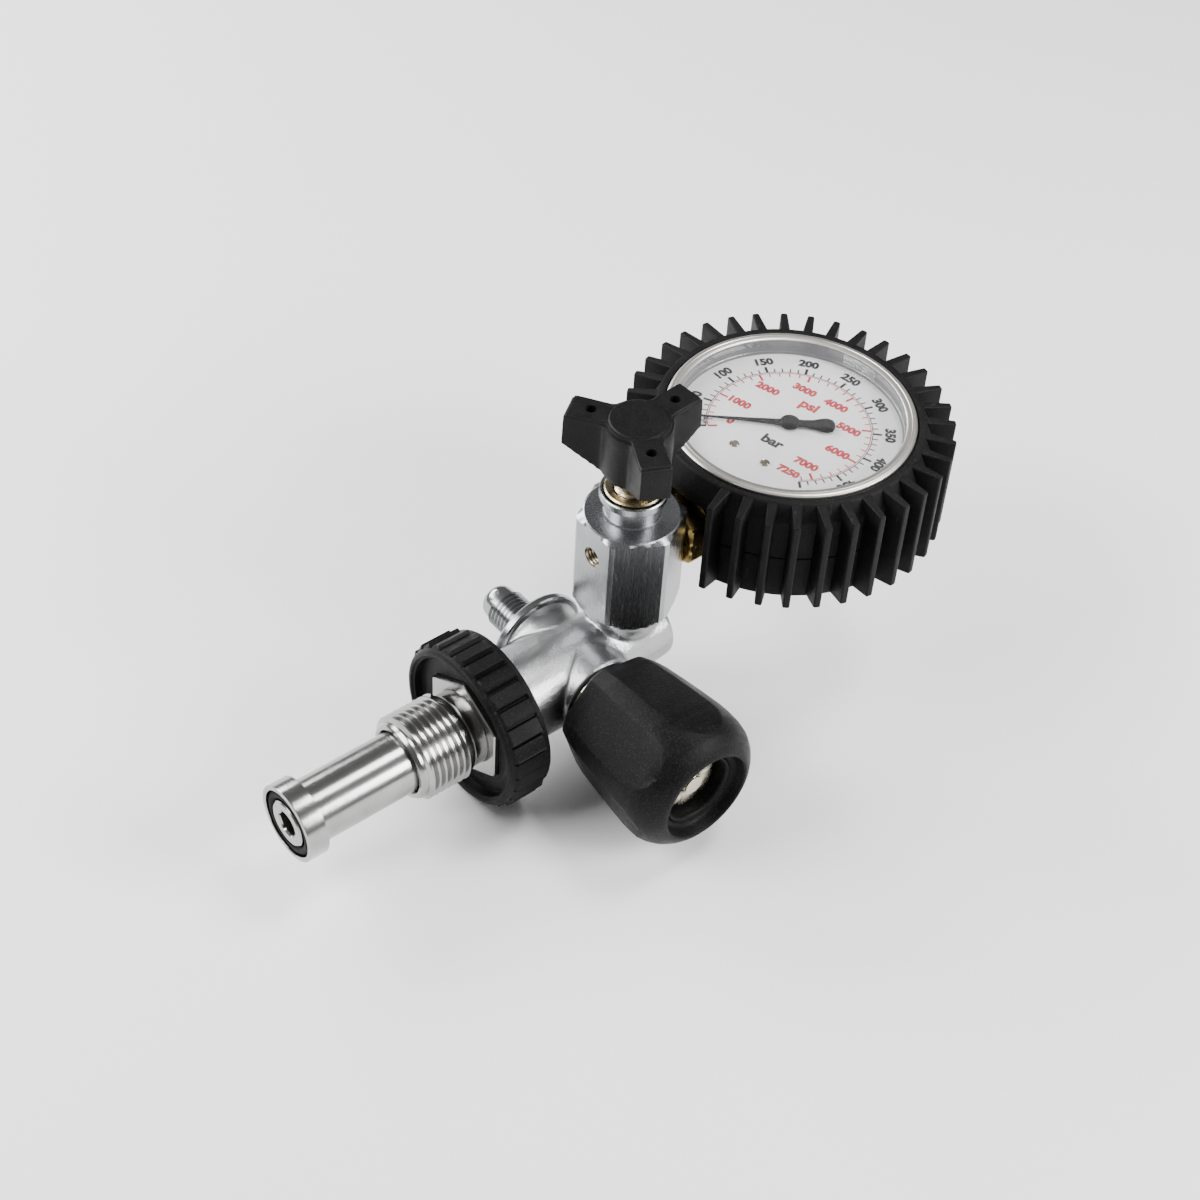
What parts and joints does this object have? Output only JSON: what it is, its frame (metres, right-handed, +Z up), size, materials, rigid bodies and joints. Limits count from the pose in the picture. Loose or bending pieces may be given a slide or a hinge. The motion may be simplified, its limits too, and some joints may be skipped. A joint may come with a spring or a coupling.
{
  "type": "high-pressure charging and test valve with pressure gauge",
  "caption": "Long spigot with a handwheel coupling, cast valve body with shut-off knob and side outlet, bleed block with lobed screw, booted pressure gauge.",
  "frame": {"origin": "centre of the spigot's front face, on the spigot axis", "axes": "+X along the spigot into the valve, +Y towards the small threaded outlet, +Z up along the bleed block and out of the gauge face"},
  "size_m": [0.1963, 0.0954, 0.096],
  "materials": {
    "plated_steel": "polished nickel-chrome plating",
    "cast_chrome": "plated over a coarse casting",
    "nickel": "warm satin nickel plating",
    "brass": "turned, slightly oily",
    "black_plastic": "fine-grained",
    "black_rubber": "matt moulded",
    "seal_rubber": "smooth, slightly shiny",
    "clear_glass": "clear",
    "dial_white": "satin white printed face",
    "slip_plastic": "natural bearing plastic"
  },
  "bodies": {
    "valve_assembly": {"nipple_stem": "plated_steel", "face_o_ring": "seal_rubber", "nipple_retainer": "plated_steel", "inlet_filter": "brass", "valve_body": "cast_chrome", "outlet_stub": "plated_steel", "valve_bonnet": "nickel", "bleed_block": "plated_steel", "block_union": "plated_steel", "bleed_bushing": "brass", "gauge_nut": "brass", "gauge_socket": "brass", "gauge_case": "plated_steel", "blowout_plug": "black_rubber", "gauge_bezel": "plated_steel", "gauge_window": "clear_glass", "gauge_dial": "dial_white", "movement_plate": "brass", "bourdon_tube": "brass", "stop_pin": "plated_steel", "dial_screw_1": "plated_steel", "dial_screw_2": "plated_steel", "gauge_boot": "black_rubber"},
    "slip_ring": {"slip_washer": "slip_plastic"},
    "hand_coupling": {"coupling": "plated_steel", "handwheel": "black_plastic"},
    "shut_off_plug": {"valve_plug": "slip_plastic"},
    "shut_off_knob": {"valve_knob": "black_plastic", "valve_spindle": "nickel", "knob_nut": "nickel"},
    "bleed_screw": {"bleed_spindle": "nickel"},
    "bleed_handle": {"bleed_knob": "black_plastic"},
    "pointer": {"gauge_pointer": "black_plastic", "pinion": "brass"},
    "movement_sector": {"sector_gear": "brass"}
  },
  "joints": [
    {"name": "coupling_slide", "type": "slide", "parent": "valve_assembly", "child": "slip_ring", "axis": [-1, 0, 0], "range_m": [0, 0.025]},
    {"name": "coupling_spin", "type": "hinge", "parent": "slip_ring", "child": "hand_coupling", "pos_m": [0.0565, 0, 0], "axis": [-1, 0, 0], "continuous": true},
    {"name": "knob_turn", "type": "hinge", "parent": "valve_assembly", "child": "shut_off_knob", "pos_m": [0.085, -0.035, 0], "axis": [0, -1, 0], "range_deg": [0, 720]},
    {"name": "plug_lift", "type": "slide", "parent": "valve_assembly", "child": "shut_off_plug", "axis": [0, -1, 0], "range_m": [0, 0.0017]},
    {"name": "screw_lift", "type": "slide", "parent": "valve_assembly", "child": "bleed_screw", "axis": [0, 0, 1], "range_m": [0, 0.0045]},
    {"name": "handle_turn", "type": "hinge", "parent": "bleed_screw", "child": "bleed_handle", "pos_m": [0.1025, 0, 0.068], "axis": [0, 0, 1], "range_deg": [0, 1082]},
    {"name": "pointer_turn", "type": "hinge", "parent": "valve_assembly", "child": "pointer", "pos_m": [0.1542, 0, 0.0463], "axis": [0, 0, -1], "range_deg": [0, 263]},
    {"name": "sector_turn", "type": "hinge", "parent": "valve_assembly", "child": "movement_sector", "pos_m": [0.1398, 0, 0.0412], "axis": [0, 0, -1], "range_deg": [-38, 0.5]}
  ],
  "couplings": [
    {"joint": "plug_lift", "follows": "knob_turn", "m_per_rad": 0.00012732},
    {"joint": "handle_turn", "follows": "screw_lift", "rad_per_m": 4188.8},
    {"joint": "sector_turn", "follows": "pointer_turn", "ratio": -0.14286}
  ]
}
